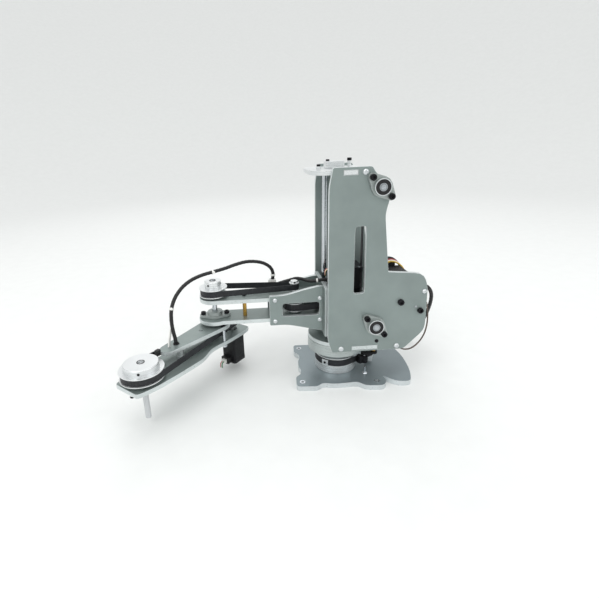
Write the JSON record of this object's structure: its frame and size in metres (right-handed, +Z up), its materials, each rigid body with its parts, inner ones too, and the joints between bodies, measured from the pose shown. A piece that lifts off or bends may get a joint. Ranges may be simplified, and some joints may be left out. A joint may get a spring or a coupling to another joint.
{
  "type": "desktop robot arm",
  "caption": "Belt-driven SCARA desktop robot arm: turning column on a base plate, lifting carriage, upper arm, forearm and turning wrist spindle.",
  "frame": {"origin": "on the column's turning axis, at the underside of the base plate", "axes": "+Z up along the turning axis; +X along the upper arm's reach; +Y towards the side that shows the column's long slot"},
  "size_m": [0.4845, 0.3173, 0.3385],
  "materials": {
    "plate": "satin grey anodised",
    "base": "satin blue-grey anodised",
    "aluminium": "machined and brushed",
    "steel": "ground",
    "bearing": "die cast",
    "brass": "turned",
    "motor": "black painted laminations and end caps",
    "black": "black oxide and black plastic",
    "belt": "toothed rubber",
    "cable": "spiral wrapped bundle",
    "thin_cable": "thin insulated cable",
    "white_plastic": "cable ties and connectors",
    "wire_red": "insulated wire",
    "wire_yellow": "insulated wire"
  },
  "bodies": {
    "base": {"base_plate": "base", "ring_pulley": "aluminium", "turntable_post": "steel", "harness_coil": "cable", "harness_plug": "black"},
    "column": {"turntable_drum": "plate", "column_bottom_plate": "plate", "near_side_plate": "plate", "far_side_plate": "plate", "column_top_plate": "aluminium", "top_block": "aluminium", "top_post": "aluminium", "guide_rod_near": "steel", "guide_rod_far": "steel", "rear_cross_bar": "aluminium", "rear_cross_plate": "plate", "lower_lift_bearing": "bearing", "upper_lift_bearing": "bearing", "lift_belt": "belt", "lift_motor": "motor", "lift_drive_belt": "belt", "turn_motor": "motor", "turn_belt": "belt", "idler_bracket": "black", "rear_harness": "cable", "thin_cable": "thin_cable"},
    "turn_pinion": {"turn_pinion": "aluminium"},
    "turn_idler": {"turn_idler": "black"},
    "lower_lift_shaft": {"lower_lift_shaft": "steel", "lift_wheel": "aluminium"},
    "upper_lift_shaft": {"upper_lift_shaft": "steel"},
    "lift_motor_pinion": {"lift_motor_pinion": "aluminium"},
    "carriage": {"carriage_plate": "plate", "linear_bearing_near": "aluminium", "linear_bearing_far": "aluminium", "lift_belt_clamp": "aluminium", "arm_bottom_plate": "plate", "arm_top_plate": "plate", "arm_side_near": "plate", "arm_side_far": "plate", "arm_standoff": "brass", "elbow_motor": "motor", "first_elbow_belt": "belt", "second_elbow_belt": "belt", "elbow_bearing_lower": "bearing", "arm_cable": "cable"},
    "elbow_motor_pinion": {"elbow_motor_pinion": "aluminium"},
    "middle_shaft": {"middle_shaft": "aluminium", "middle_pulley": "aluminium"},
    "forearm": {"forearm_top_plate": "plate", "forearm_bottom_plate": "plate", "forearm_tip_post": "aluminium", "elbow_shaft": "steel", "elbow_pulley": "aluminium", "wrist_motor": "motor", "wrist_belt": "belt", "wrist_bearing": "bearing"},
    "wrist_motor_pinion": {"wrist_motor_pinion": "aluminium"},
    "wrist": {"wrist_pulley": "aluminium", "wrist_spindle": "aluminium"}
  },
  "joints": [
    {"name": "column_turn", "type": "hinge", "parent": "base", "child": "column", "pos_m": [0, 0, 0], "axis": [0, 0, 1], "range_deg": [-50, 150], "deforming": ["rear_harness"]},
    {"name": "turn_pinion_spin", "type": "hinge", "parent": "column", "child": "turn_pinion", "pos_m": [-0.056, 0, 0.027], "axis": [0, 0, 1], "range_deg": [-755, 255]},
    {"name": "turn_idler_spin", "type": "hinge", "parent": "column", "child": "turn_idler", "pos_m": [-0.04184, 0.02257, 0.027], "axis": [0, 0, 1], "range_deg": [-255, 765]},
    {"name": "carriage_lift", "type": "slide", "parent": "column", "child": "carriage", "axis": [0, 0, 1], "range_m": [-0.008, 0.135]},
    {"name": "lower_lift_spin", "type": "hinge", "parent": "column", "child": "lower_lift_shaft", "pos_m": [-0.0453, 0, 0.1013], "axis": [0, 1, 0], "range_deg": [-1220, 76]},
    {"name": "upper_lift_spin", "type": "hinge", "parent": "column", "child": "upper_lift_shaft", "pos_m": [-0.0453, 0, 0.3023], "axis": [0, 1, 0], "range_deg": [-1220, 76]},
    {"name": "lift_motor_spin", "type": "hinge", "parent": "column", "child": "lift_motor_pinion", "pos_m": [-0.086, -0.069, 0.15], "axis": [0, 1, 0], "range_deg": [-3045, 185]},
    {"name": "elbow_turn", "type": "hinge", "parent": "carriage", "child": "forearm", "pos_m": [0.1914, 0, 0.08], "axis": [0, 0, 1], "range_deg": [-180, 79], "deforming": ["arm_cable"]},
    {"name": "middle_spin", "type": "hinge", "parent": "carriage", "child": "middle_shaft", "pos_m": [0.066, 0, 0.13], "axis": [0, 0, 1], "range_deg": [-545, 240]},
    {"name": "elbow_motor_spin", "type": "hinge", "parent": "carriage", "child": "elbow_motor_pinion", "pos_m": [-0.015, 0, 0.12], "axis": [0, 0, 1], "range_deg": [-1355, 597]},
    {"name": "wrist_turn", "type": "hinge", "parent": "forearm", "child": "wrist", "pos_m": [0.28383, 0.11172, 0.08], "axis": [0, 0, 1], "continuous": true},
    {"name": "wrist_motor_spin", "type": "hinge", "parent": "forearm", "child": "wrist_motor_pinion", "pos_m": [0.16781, -0.02851, 0.08], "axis": [0, 0, 1], "continuous": true}
  ],
  "couplings": [
    {"joint": "turn_pinion_spin", "follows": "column_turn", "ratio": -5},
    {"joint": "turn_idler_spin", "follows": "column_turn", "ratio": 5.0399},
    {"joint": "lower_lift_spin", "follows": "carriage_lift", "rad_per_m": -157.08},
    {"joint": "upper_lift_spin", "follows": "carriage_lift", "rad_per_m": -157.08},
    {"joint": "lift_motor_spin", "follows": "carriage_lift", "rad_per_m": -392.7},
    {"joint": "middle_spin", "follows": "elbow_turn", "ratio": 3},
    {"joint": "elbow_motor_spin", "follows": "elbow_turn", "ratio": 7.5},
    {"joint": "wrist_motor_spin", "follows": "wrist_turn", "ratio": 3.44}
  ]
}
